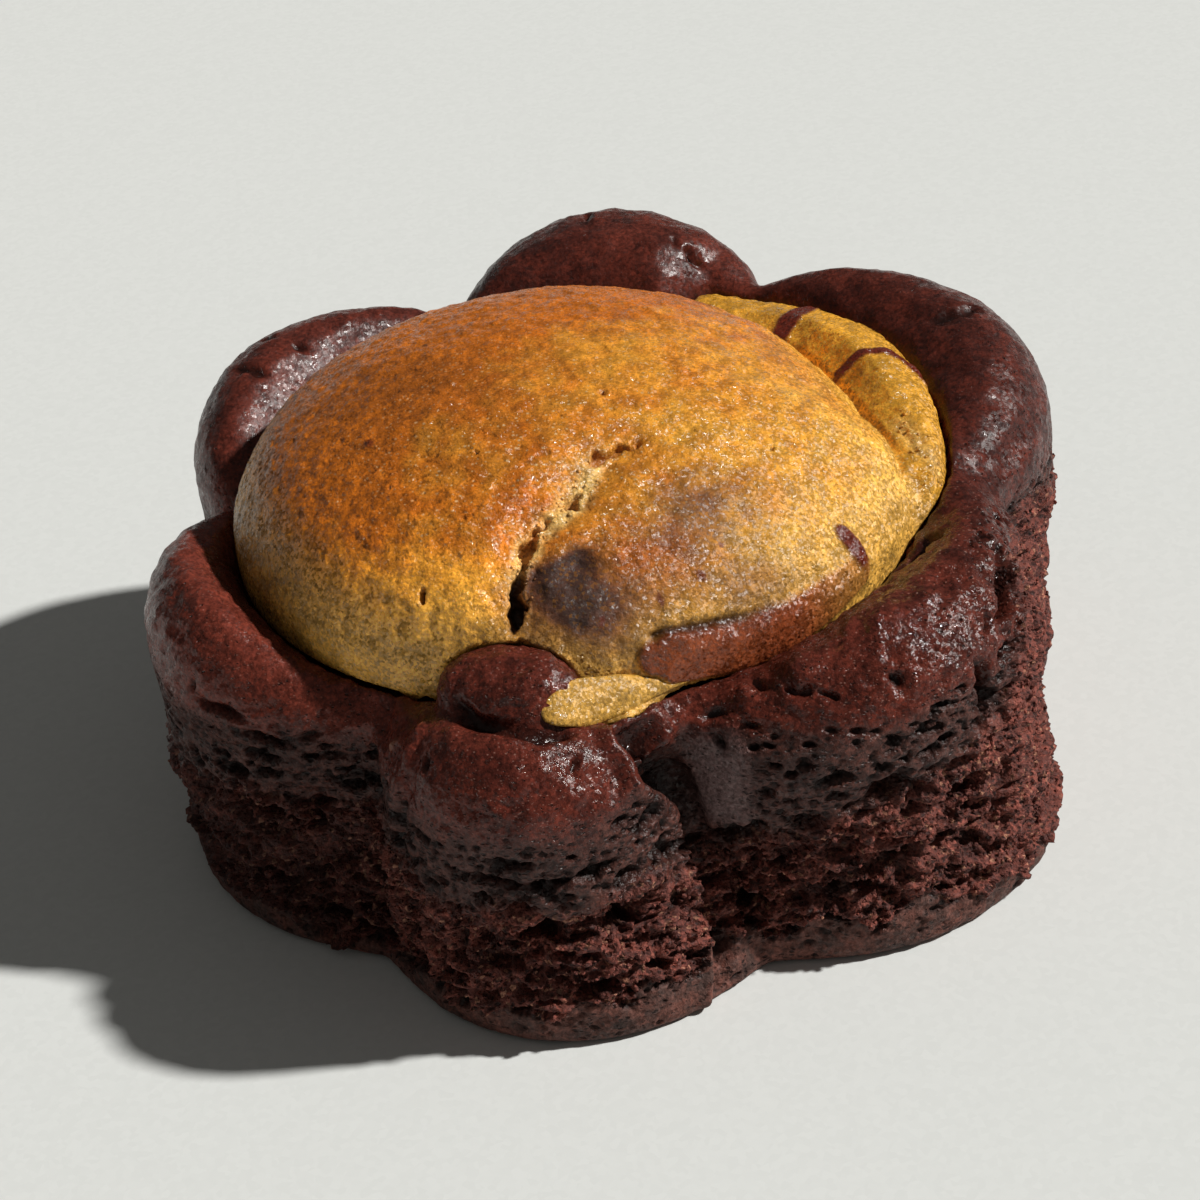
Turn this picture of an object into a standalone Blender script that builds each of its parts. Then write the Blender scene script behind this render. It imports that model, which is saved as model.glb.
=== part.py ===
"""A brookie: a six-lobed chocolate brownie with a cookie baked into its top.

Frame: metres, +Z up, the origin on the table under the middle of the whole.
The low front lobe is towards -Y, and the back-right ledge of cookie is towards
+X and +Y.  Angles and radii are about the flower's own axis, counter-clockwise
from +X, seen from above.
"""

import math
from collections import namedtuple

import bmesh
import bpy
from mathutils import Vector, noise

MM = 0.001

# The flower's axis, which lies a little off the middle of the whole.
AXIS = Vector((-0.17 * MM, -0.50 * MM, 0.0))

# The flower outline.  Each lobe reaches furthest at its angle, and its rim stands this high.
Lobe = namedtuple("Lobe", "angle base_reach rim_reach crest")
# Each crease lies just before the lobe of the same place in the list.
Crease = namedtuple("Crease", "base_angle base_radius rim_angle rim_radius dip")

LOBES = (
    Lobe(19.0, 34.2 * MM, 35.1 * MM, 26.9 * MM),    # back right, behind the ledge of cookie
    Lobe(83.0, 34.4 * MM, 35.2 * MM, 28.4 * MM),    # back
    Lobe(142.0, 34.0 * MM, 34.7 * MM, 27.2 * MM),   # back left
    Lobe(205.0, 33.8 * MM, 34.5 * MM, 26.2 * MM),   # front left
    Lobe(257.0, 34.7 * MM, 34.6 * MM, 23.8 * MM),   # front
    Lobe(319.0, 34.8 * MM, 34.3 * MM, 25.0 * MM),   # front right
)
CREASES = (
    Crease(-9.0, 29.0 * MM, -11.0, 27.6 * MM, 1.5 * MM),
    Crease(52.0, 29.4 * MM, 58.5, 27.8 * MM, 0.3 * MM),
    Crease(111.5, 29.2 * MM, 113.0, 26.8 * MM, 1.0 * MM),
    Crease(171.5, 29.2 * MM, 172.0, 28.0 * MM, 1.2 * MM),
    Crease(231.5, 29.4 * MM, 232.0, 26.9 * MM, 2.5 * MM),
    Crease(284.5, 28.6 * MM, 275.5, 25.9 * MM, 2.5 * MM),
)
COLUMNS_PER_LOBE = 20       # columns of faces round one lobe
CREASE_FILL = 0.7 * MM      # how far the sharp corner in a crease is filled out
CREASE_WIDTH = 3.0          # degrees over which it is filled

# The wall: a smooth band at the foot, torn crumb above it, then the smooth mould skin.
FOOT_ROUND = 0.8 * MM
FOOT_BAND = 3.0 * MM
WALL_ROWS = 11
RIM_ROUND = 6.4 * MM        # radius of the rounded rim
RIM_DROP = 3.0 * MM         # the lowest that the rim lies below the cookie's edge
RIM_STEPS = (0.03, 0.1, 0.2, 0.33, 0.48, 0.64, 0.8, 0.92, 1.0)  # its rings, from the wall inwards
GROOVE_WIDTH = 4.5 * MM     # the rim falls to the cookie's edge over this distance
GROOVE_STEP = 0.8 * MM      # with a steeper step this wide at the edge itself
GROOVE_DEPTH = 0.4 * MM     # the cookie's edge lies at least this far below the crest
MEETING_EASE = 1.6 * MM     # softens the valley where two lobes' rims meet
TEAR_DEPTH = 0.6 * MM       # how far the torn crumb lies behind the skin
TEAR_EDGE = 1.4 * MM        # height over which it steps back
CRAG = 0.55 * MM            # height of the crumb's bumps
CRAG_LENGTH = 4.2 * MM      # along the wall
CRAG_HEIGHT = 2.2 * MM      # up the wall
SKIN_RIPPLE = 0.15 * MM     # unevenness of the smooth skin
SKIN_RIPPLE_LENGTH = 6.0 * MM
WALL_RADIUS = 33.0 * MM     # about how far the wall stands from the axis
# How high the torn crumb reaches, at these angles round the wall.
TEAR_TOPS = (
    (20.0, 9.0 * MM),
    (110.0, 8.0 * MM),
    (200.0, 9.0 * MM),
    (258.0, 10.5 * MM),
    (281.0, 11.0 * MM),
    (300.0, 13.5 * MM),
    (322.0, 15.5 * MM),
    (336.0, 20.0 * MM),
    (350.0, 18.0 * MM),
)

# Deep holes in the crumb: angle and height of the middle, half width, half height, depth.
Hole = namedtuple("Hole", "angle height half_width half_height depth")
HOLES = (
    Hole(257.5, 9.6 * MM, 2.2 * MM, 1.1 * MM, 1.6 * MM),
    Hole(267.5, 9.8 * MM, 2.6 * MM, 1.2 * MM, 1.8 * MM),
    Hole(277.0, 15.0 * MM, 1.6 * MM, 4.5 * MM, 1.4 * MM),
    Hole(311.0, 11.2 * MM, 2.2 * MM, 1.3 * MM, 1.6 * MM),
    Hole(327.5, 9.6 * MM, 2.4 * MM, 1.5 * MM, 1.8 * MM),
    Hole(335.5, 17.6 * MM, 1.7 * MM, 2.6 * MM, 1.9 * MM),
    Hole(211.0, 15.6 * MM, 3.4 * MM, 1.0 * MM, 1.3 * MM),
    Hole(221.5, 13.0 * MM, 3.0 * MM, 1.0 * MM, 1.2 * MM),
)

# The cookie: a dome with a steep edge, a low ledge at the back right and a small one in front.
DOME_CENTRE = Vector((-2.1 * MM, -2.0 * MM))
DOME_HALF_X = 24.6 * MM
DOME_HALF_Y = 22.7 * MM
DOME_FOOT = 21.4 * MM       # height of the dome's edge
DOME_RISE = 12.58 * MM      # from the edge to the top
DOME_POWER = 2.22           # above 2 the top is flatter and the edge steeper
DOME_SKEW = 0.115           # how much higher it stands on its left than on its right
# How far its edge is set in towards the ledge, as a share, at these angles about its own middle.
DOME_SET_IN = (
    (-35.0, 0.0),
    (-15.0, 0.0),
    (5.0, 0.104),
    (25.0, 0.115),
    (45.0, 0.072),
    (65.0, 0.025),
    (90.0, 0.0),
)
DOME_RIPPLE = 0.22 * MM     # gentle unevenness of the crust
DOME_RIPPLE_LENGTH = 7.0 * MM

LEDGE_RADIUS = 24.8 * MM    # the ledge's outer edge, from the axis
LEDGE_FROM, LEDGE_TO = -19.0, 66.0
LEDGE_EASE = 9.0            # degrees over which its ends taper
LEDGE_HEIGHT = 24.2 * MM    # at its outer edge
LEDGE_SWELL = 1.6 * MM      # how much it rises towards the dome
LEDGE_ROUND = 5.0 * MM      # distance in from the edge over which both ledges swell

SLIVER_RADIUS = 27.3 * MM   # the small ledge in front
SLIVER_FROM, SLIVER_TO = 252.0, 268.0
SLIVER_EASE = 9.0           # degrees over which its ends taper
SLIVER_HEIGHT = 21.9 * MM
SLIVER_SWELL = 0.9 * MM

LEDGE_RINGS = 3             # rings of faces over the ledges, also where there is none
LEDGE_LEAST = 0.45 * MM     # the least width that they take there
TOP_RINGS = 18              # rings of faces over the dome
EDGE_HALVINGS = 26          # steps in which the dome's edge is found
SEAT_FLOOR = 15.4 * MM      # the lowest point of the cookie's rounded underside
SEAT_STEPS = (0.94, 0.82, 0.62, 0.36)  # its rings, as shares of the way out
SEAT_EDGE = 0.996           # the ring at the foot of its lip
SEAT_LIP = 0.9 * MM         # how deep the cookie's edge sits in the brownie
SEAT_POWER = 3.0
GAP = 0.3 * MM              # clearance between cookie and brownie

# The crack across the dome, as plan points, and the lower half in front of it.
CRACK = (
    (4.6 * MM, -10.5 * MM),
    (2.5 * MM, -11.0 * MM),
    (-0.4 * MM, -11.9 * MM),
    (-2.0 * MM, -14.7 * MM),
    (-4.0 * MM, -16.4 * MM),
    (-5.5 * MM, -17.7 * MM),
    (-6.7 * MM, -21.2 * MM),
)
CRACK_DEPTH = 0.9 * MM
CRACK_START = 0.25          # share of that depth at its far end
CRACK_WIDENS = 0.6          # share of its length over which it reaches its full depth
CRACK_HALF_WIDTH = 1.5 * MM
CRACK_STEP = 0.7 * MM       # how far the right-hand side has dropped
CRACK_STEP_REACH = 7.0 * MM

# The blob of brownie batter that baked over the dome's front edge.
BLOB_ANGLE = 252.6
BLOB_RADIUS = 26.2 * MM
BLOB_HEIGHT = 23.1 * MM
BLOB_HALF = (5.0 * MM, 3.4 * MM, 2.7 * MM)
BLOB_TILT = 32.0            # degrees that its outer side leans down

BROWNIE_COLOUR = (0.052, 0.016, 0.010, 1.0)
COOKIE_COLOUR = (0.50, 0.24, 0.055, 1.0)


def clear_scene():
    """Start from an empty scene."""
    for thing in list(bpy.data.objects):
        bpy.data.objects.remove(thing, do_unlink=True)


def mix(a, b, share):
    """The value this share of the way from a to b."""
    return a + (b - a) * share


def smooth(low, high, value):
    """0 below low, 1 above high, and an even curve between them."""
    share = min(max((value - low) / (high - low), 0.0), 1.0)
    return share * share * (3.0 - 2.0 * share)


def turn(from_angle, to_angle):
    """The signed turn between two angles, between -180 and 180 degrees."""
    return (to_angle - from_angle + 180.0) % 360.0 - 180.0


def plan(angle, radius):
    """A plan point from an angle in degrees and a radius."""
    a = math.radians(angle)
    return Vector((radius * math.cos(a), radius * math.sin(a)))


def circle_through(p, q, r):
    """Centre and radius of the circle through three plan points."""
    area = 2.0 * ((q - p).cross(r - p))
    qq, rr = (q - p).length_squared, (r - p).length_squared
    x = ((r - p).y * qq - (q - p).y * rr) / area
    y = ((q - p).x * rr - (r - p).x * qq) / area
    offset = Vector((x, y))
    return p + offset, offset.length


def lobe_circle(index, level):
    """The circle of one lobe, at level 0 on the table and level 1 at the rim."""
    lobe = LOBES[index]
    before, after = CREASES[index], CREASES[(index + 1) % len(CREASES)]
    first = plan(mix(before.base_angle, before.rim_angle, level),
                 mix(before.base_radius, before.rim_radius, level))
    middle = plan(lobe.angle, mix(lobe.base_reach, lobe.rim_reach, level))
    last = plan(mix(after.base_angle, after.rim_angle, level),
                mix(after.base_radius, after.rim_radius, level))
    return circle_through(first, middle, last)


def column_angle(index, share, level):
    """The angle of a column of faces, which leans with the creases either side of it."""
    before, after = CREASES[index], CREASES[(index + 1) % len(CREASES)]
    start = mix(before.base_angle, before.rim_angle, level)
    end = mix(after.base_angle, after.rim_angle, level)
    return start + share * ((end - start) % 360.0)


def outline(index, share, level):
    """Angle and radius of the flower outline on one column."""
    angle = column_angle(index, share, level)
    centre, radius = lobe_circle(index, level)
    ray = plan(angle, 1.0)
    along = centre.dot(ray)
    reach = along + math.sqrt(max(radius * radius - centre.length_squared + along * along, 0.0))
    start = column_angle(index, 0.0, level)
    end = column_angle(index, 1.0, level)
    near = min(angle - start, end - angle)
    return angle, reach + CREASE_FILL * math.exp(-((near / CREASE_WIDTH) ** 2))


def round_values(pairs, angle):
    """A value given at a few angles, eased between them all the way round."""
    for here, there in zip(pairs, pairs[1:] + pairs[:1]):
        width = (there[0] - here[0]) % 360.0
        offset = (angle - here[0]) % 360.0
        if offset <= width:
            return mix(here[1], there[1], smooth(0.0, width, offset))
    return pairs[0][1]


def crest_height(index, share):
    """Height of the rim on one column: each lobe's own, dipping into the creases."""
    before, after = CREASES[index], CREASES[(index + 1) % len(CREASES)]
    previous = LOBES[index - 1].crest
    following = LOBES[(index + 1) % len(LOBES)].crest
    own = LOBES[index].crest
    if share < 0.5:
        return mix(0.5 * (previous + own) - before.dip, own, smooth(0.0, 0.5, share))
    return mix(own, 0.5 * (following + own) - after.dip, smooth(0.5, 1.0, share))


def within(angle, low, high, ease):
    """1 between two angles, falling to 0 over a few degrees outside them."""
    middle, half = 0.5 * (low + high), 0.5 * (high - low)
    return 1.0 - smooth(half, half + ease, abs(turn(middle, angle)))


def dome_share(point):
    """How far a plan point lies on the way from the dome's middle to its edge."""
    x = (point.x - DOME_CENTRE.x) / DOME_HALF_X
    y = (point.y - DOME_CENTRE.y) / DOME_HALF_Y
    set_in = round_values(DOME_SET_IN, math.degrees(math.atan2(y, x)))
    return math.hypot(x, y) / (1.0 - set_in)


def dome_radius(angle):
    """Distance from the axis to the dome's edge."""
    inside, outside = 0.5 * DOME_HALF_Y, 1.5 * DOME_HALF_X
    for _ in range(EDGE_HALVINGS):
        middle = 0.5 * (inside + outside)
        if dome_share(plan(angle, middle)) < 1.0:
            inside = middle
        else:
            outside = middle
    return inside


def cookie_edge(angle):
    """Radius and height of the cookie's edge, with both of its ledges."""
    ledge = within(angle, LEDGE_FROM, LEDGE_TO, LEDGE_EASE)
    sliver = within(angle, SLIVER_FROM, SLIVER_TO, SLIVER_EASE)
    radius = dome_radius(angle)
    radius = mix(radius, max(radius, LEDGE_RADIUS), ledge)
    radius = mix(radius, max(radius, SLIVER_RADIUS), sliver)
    height = mix(DOME_FOOT, LEDGE_HEIGHT, ledge)
    return radius, mix(height, SLIVER_HEIGHT, sliver)


def crack_at(point):
    """Distance from the crack, whether the point is on its lower side, and how far along it."""
    best = None
    for count, (a, b) in enumerate(zip(CRACK, CRACK[1:])):
        start, run = Vector(a), Vector(b) - Vector(a)
        share = min(max((point - start).dot(run) / run.length_squared, 0.0), 1.0)
        away = point - (start + run * share)
        if best is None or away.length < best[0]:
            best = (away.length, run.cross(away) > 0.0, (count + share) / (len(CRACK) - 1))
    return best


def dome_height(point):
    """Height of the dome at a plan point, with its crack."""
    out = min(dome_share(point), 1.0)
    skew = 1.0 - DOME_SKEW * (point.x - DOME_CENTRE.x) / DOME_HALF_X
    rise = DOME_RISE * skew * (1.0 - out ** DOME_POWER) ** (1.0 / DOME_POWER)
    ripple = DOME_RIPPLE * noise.noise(point.to_3d() / DOME_RIPPLE_LENGTH)
    away, lower_side, along = crack_at(point)
    widening = smooth(0.0, CRACK_WIDENS, along)
    groove = CRACK_DEPTH * mix(CRACK_START, 1.0, widening) * math.exp(-((away / CRACK_HALF_WIDTH) ** 2))
    drop = 0.0
    if lower_side:
        drop = CRACK_STEP * widening * math.exp(-((away / CRACK_STEP_REACH) ** 2))
    inside = 1.0 - out ** 4
    return DOME_FOOT + rise + inside * (ripple - drop) - groove


def cookie_height(angle, radius):
    """Height of the cookie's upper surface."""
    edge, foot = cookie_edge(angle)
    point = plan(angle, radius)
    top = dome_height(point) if radius < dome_radius(angle) else -1.0
    swell = LEDGE_SWELL * within(angle, LEDGE_FROM, LEDGE_TO, LEDGE_EASE)
    swell += SLIVER_SWELL * within(angle, SLIVER_FROM, SLIVER_TO, SLIVER_EASE)
    inward = min(max((edge - radius) / LEDGE_ROUND, 0.0), 1.0)
    ledge = foot + swell * math.sqrt(inward)
    return max(top, ledge)


def seat_height(angle, share):
    """Height of the seat in the brownie, at this share of the way out to the cookie's edge."""
    return mix(SEAT_FLOOR, cookie_edge(angle)[1] - SEAT_LIP, share ** SEAT_POWER)


def wall_relief(angle, height):
    """How far the torn crumb, its crags and its holes set the wall back."""
    top = round_values(TEAR_TOPS, angle)
    torn = smooth(FOOT_BAND, FOOT_BAND + TEAR_EDGE, height)
    torn *= 1.0 - smooth(top - TEAR_EDGE, top + TEAR_EDGE, height)
    around = plan(angle, WALL_RADIUS)
    grain = noise.noise(Vector((around.x / CRAG_LENGTH, around.y / CRAG_LENGTH, height / CRAG_HEIGHT)))
    back = torn * (TEAR_DEPTH + CRAG * grain)
    back += SKIN_RIPPLE * noise.noise(Vector((around.x, around.y, height)) / SKIN_RIPPLE_LENGTH)
    for hole in HOLES:
        across = math.radians(turn(hole.angle, angle)) * WALL_RADIUS / hole.half_width
        up = (height - hole.height) / hole.half_height
        back += hole.depth * math.exp(-(across * across + up * up))
    return back


def shoulder(away):
    """Drop below the crest at this distance in from the outline: a quarter circle."""
    rest = max(RIM_ROUND - away, 0.0)
    return RIM_ROUND - math.sqrt(max(RIM_ROUND * RIM_ROUND - rest * rest, 0.0))


def depth_in(point, circles):
    """Distance in from the outline of all the lobes, eased where two lobes meet."""
    depths = sorted((radius - (point - centre).length for centre, radius in circles), reverse=True)
    overlap = max(MEETING_EASE - (depths[0] - depths[1]), 0.0)
    return max(depths[0] - overlap * overlap / (4.0 * MEETING_EASE), 0.0)


def rim_height(angle, radius, crest, circles):
    """Height of the rim, between the outline and the cookie's edge."""
    edge, foot = cookie_edge(angle)
    outer = crest - shoulder(depth_in(plan(angle, radius), circles))
    climb = mix(smooth(0.0, GROOVE_WIDTH, radius - edge), min((radius - edge) / GROOVE_STEP, 1.0), 0.35)
    return mix(min(foot, crest - GROOVE_DEPTH), max(outer, foot - RIM_DROP), climb)


def brownie_profile(index, share, circles):
    """One column of the brownie, from the foot over the rim to the middle of the seat."""
    crest = crest_height(index, share)
    wall_top = crest - RIM_ROUND
    foot_angle, foot_radius = outline(index, share, 0.0)
    points = [
        (foot_angle, foot_radius - FOOT_ROUND, 0.0),
        (foot_angle, foot_radius - 0.3 * FOOT_ROUND, 0.3 * FOOT_ROUND),
        (foot_angle, foot_radius, FOOT_ROUND),
    ]
    for row in range(WALL_ROWS + 1):
        height = mix(FOOT_BAND, wall_top, row / WALL_ROWS)
        angle, radius = outline(index, share, height / wall_top)
        points.append((angle, radius - wall_relief(angle, height), height))
    angle, reach = outline(index, share, 1.0)
    reach -= wall_relief(angle, wall_top)
    edge = cookie_edge(angle)[0]
    for step in RIM_STEPS:
        radius = mix(reach, edge, step)
        points.append((angle, radius, rim_height(angle, radius, crest, circles)))
    for step in (SEAT_EDGE, *SEAT_STEPS):
        points.append((angle, edge * step, seat_height(angle, step)))
    return points


def cookie_profile(angle):
    """One column of the cookie, from under its middle round its edge to the top."""
    edge = cookie_edge(angle)[0] - GAP
    points = []
    for step in (*reversed(SEAT_STEPS), 1.0):
        points.append((angle, edge * step, seat_height(angle, step) + GAP))
    foot = min(dome_radius(angle), edge - LEDGE_LEAST)
    for ring in range(1, LEDGE_RINGS + 1):
        radius = mix(edge, foot, ring / LEDGE_RINGS)
        points.append((angle, radius, cookie_height(angle, radius)))
    for ring in range(1, TOP_RINGS):
        radius = foot * math.sin(0.5 * math.pi * (1.0 - ring / TOP_RINGS)) ** 0.8
        points.append((angle, radius, cookie_height(angle, radius)))
    return points


def all_columns():
    """Every column, as its lobe's place in the list and its share of the way across the lobe."""
    for index in range(len(LOBES)):
        for count in range(COLUMNS_PER_LOBE):
            yield index, count / COLUMNS_PER_LOBE


def lathe(name, profiles, first_height, last_height):
    """A closed body from columns of points, closed by one point below and one above."""
    mesh = bmesh.new()
    rings = []
    for profile in profiles:
        ring = []
        for angle, radius, height in profile:
            flat = plan(angle, radius)
            ring.append(mesh.verts.new((flat.x, flat.y, height)))
        rings.append(ring)
    first = mesh.verts.new((0.0, 0.0, first_height))
    last = mesh.verts.new((0.0, 0.0, last_height))
    for here, there in zip(rings, rings[1:] + rings[:1]):
        mesh.faces.new((first, there[0], here[0]))
        for low in range(len(here) - 1):
            mesh.faces.new((here[low], there[low], there[low + 1], here[low + 1]))
        mesh.faces.new((last, here[-1], there[-1]))
    bmesh.ops.triangulate(mesh, faces=mesh.faces[:])
    data = bpy.data.meshes.new(name)
    mesh.to_mesh(data)
    mesh.free()
    data.shade_smooth()
    body = bpy.data.objects.new(name, data)
    body.location = AXIS
    bpy.context.scene.collection.objects.link(body)
    return body


def material(name, colour, roughness):
    """A plain material for one sub-part."""
    made = bpy.data.materials.new(name)
    made.use_nodes = True
    shader = made.node_tree.nodes["Principled BSDF"]
    shader.inputs["Base Color"].default_value = colour
    shader.inputs["Roughness"].default_value = roughness
    shader.inputs["Metallic"].default_value = 0.0
    return made


def make_brownie():
    """The whole brownie body, with the seat that the cookie lies in."""
    circles = [lobe_circle(index, 1.0) for index in range(len(LOBES))]
    profiles = [brownie_profile(index, share, circles) for index, share in all_columns()]
    body = lathe("brownie", profiles, 0.0, seat_height(0.0, 0.0))
    body.data.materials.append(material("brownie", BROWNIE_COLOUR, 0.42))
    return body


def make_cookie():
    """The cookie: dome, crack, ledges and rounded underside."""
    profiles = [cookie_profile(column_angle(index, share, 1.0)) for index, share in all_columns()]
    body = lathe("cookie", profiles, seat_height(0.0, 0.0) + GAP, cookie_height(0.0, 0.0))
    body.data.materials.append(material("cookie", COOKIE_COLOUR, 0.5))
    return body


def make_blob(name, grow):
    """The blob's shape, grown by a margin all round where it is used to cut."""
    mesh = bmesh.new()
    bmesh.ops.create_icosphere(mesh, subdivisions=3, radius=1.0)
    for vertex in mesh.verts:
        vertex.co.x *= BLOB_HALF[0] + grow
        vertex.co.y *= BLOB_HALF[1] + grow
        vertex.co.z *= BLOB_HALF[2] + grow
    data = bpy.data.meshes.new(name)
    mesh.to_mesh(data)
    mesh.free()
    data.shade_smooth()
    blob = bpy.data.objects.new(name, data)
    bpy.context.scene.collection.objects.link(blob)
    blob.location = AXIS + plan(BLOB_ANGLE, BLOB_RADIUS).to_3d() + Vector((0.0, 0.0, BLOB_HEIGHT))
    blob.rotation_euler = (math.radians(BLOB_TILT), 0.0, math.radians(BLOB_ANGLE - 270.0))
    blob.hide_render = True
    blob.display_type = "WIRE"
    return blob


def combine(body, other, operation):
    """Join or cut a body with another, as a Boolean modifier."""
    change = body.modifiers.new(other.name, "BOOLEAN")
    change.operation = operation
    change.solver = "EXACT"
    change.object = other


def main():
    clear_scene()
    brownie = make_brownie()
    cookie = make_cookie()
    combine(brownie, make_blob("blob_shape", 0.0), "UNION")
    combine(cookie, make_blob("blob_clearance", GAP), "DIFFERENCE")


main()
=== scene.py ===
"""A brookie on a pale table: a six-lobed brownie with a golden cookie baked into its top.

Lengths are in millimetres unless a name says otherwise, and angles are in degrees
about the flower's own axis, counter-clockwise from +X, seen from above.
"""

import math

import bmesh
import bpy
import numpy as np
from mathutils import Matrix, Vector, noise


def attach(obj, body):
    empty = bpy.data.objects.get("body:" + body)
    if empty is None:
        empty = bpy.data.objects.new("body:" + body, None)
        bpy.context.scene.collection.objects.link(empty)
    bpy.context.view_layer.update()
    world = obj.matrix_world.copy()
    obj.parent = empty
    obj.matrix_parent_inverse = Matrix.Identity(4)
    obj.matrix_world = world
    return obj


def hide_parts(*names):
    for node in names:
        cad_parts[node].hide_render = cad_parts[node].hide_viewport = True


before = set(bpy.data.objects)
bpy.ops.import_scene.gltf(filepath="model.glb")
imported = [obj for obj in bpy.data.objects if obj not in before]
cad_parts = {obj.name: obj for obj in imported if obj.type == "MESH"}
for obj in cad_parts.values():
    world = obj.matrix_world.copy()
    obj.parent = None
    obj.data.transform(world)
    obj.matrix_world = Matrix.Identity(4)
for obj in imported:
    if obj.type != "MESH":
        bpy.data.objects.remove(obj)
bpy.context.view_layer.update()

# The brownie: chocolate batter baked in a six-lobed mould.  Its rim rose above the
# mould and set to a smooth, glossy skin.  The wall below kept the mould's dull skin,
# and lower down it stuck and tore, which laid the crumb bare above a firm foot.

MM = 0.001                            # metres in a millimetre
AXIS = np.array((-0.17, -0.50, 0.0))  # where the flower's axis stands

BROWNIE_SPACING = 0.19                # between the points of its surface
BROWNIE_EASING = 12                   # rounds of smoothing
MOST_FACES = 194000                   # of one piece
BROWNIE_HIDDEN = (19.5, 27.0)         # the seat's height and radius, under the cookie

# Round the wall, as angles and heights: the glossy rim's lower edge, the torn crumb's
# upper edge and the foot's upper edge.
RIM_FEET = (
    (19, 20.0), (83, 21.0), (142, 19.6), (205, 18.8), (222, 18.8), (240, 18.2), (257, 17.6), (266, 18.0),
    (285, 19.6), (300, 19.8), (319, 20.0), (345, 18.5),
)
TEAR_TOPS = (
    (20, 15.0), (60, 9.0), (110, 8.0), (160, 9.5), (200, 11.5), (225, 13.0), (245, 12.0), (258, 11.4),
    (268, 11.8), (277, 9.5), (285, 11.0), (294, 12.5), (305, 14.2), (316, 17.5), (326, 22.5), (336, 22.5),
    (350, 18.0),
)
FOOT_TOPS = (
    (20, 2.0), (110, 2.6), (205, 3.0), (228, 1.8), (250, 2.8), (276, 4.2), (286, 3.6), (300, 4.0),
    (313, 2.8), (324, 1.2), (345, 1.2),
)

# How warm the rim's brown is round the wall: more on the left.
WARMTH = (
    (20, 0.15), (75, 0.35), (98, 0.15), (125, 0.3), (160, 0.4), (190, 0.65), (230, 0.6), (247, 0.5),
    (258, 0.3), (300, 0.35), (335, 0.15),
)

# How lively the rim's skin is round the wall: pebbly, glossy and with painted glints in front, smooth at the
# back.
LIVELY = (
    (10, 0.10), (60, 0.05), (160, 0.05), (190, 0.4), (225, 0.6), (250, 0.8), (285, 1.0), (320, 1.0),
    (340, 0.6), (352, 0.15),
)

# How open the wall is, by its height above the tear, and its pores: their spacing, their
# depth and the openness at which they start.
OPENNESS = ((-3.0, 1.0), (-0.5, 0.90), (0.8, 0.74), (3.4, 0.60), (6.5, 0.45), (9.5, 0.20))
PORES = (((2.4, 2.4, 1.15), 1.6, 0.42), ((1.4, 1.4, 0.66), 1.2, 0.22), ((0.85, 0.85, 0.46), 0.8, 0.0))

# Folds where two lobes meet: heights and angles along the fold, how far the lip on its left
# stands up, the depth of the trench on its right by height, and the trench's width.
FOLDS = (
    (((0.5, 275.4), (4.2, 276.6), (8.5, 275.6), (13.1, 274.6), (14.9, 273.8), (18.2, 271.0), (20.1, 269.4),
      (21.5, 267.0)), 0.45,
     ((0.5, 0.7), (6.0, 0.7), (11.0, 0.9), (14.0, 1.8), (18.0, 2.2), (21.0, 1.8), (23.0, 0.0)), 2.2),
    (((6.0, 236.0), (10.0, 236.5), (14.5, 238.2), (18.8, 240.8), (21.7, 242.4)), 0.30,
     ((6.0, 0.0), (9.0, 0.3), (14.0, 0.6), (19.0, 0.5), (22.5, 0.0)), 1.4),
)

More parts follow.
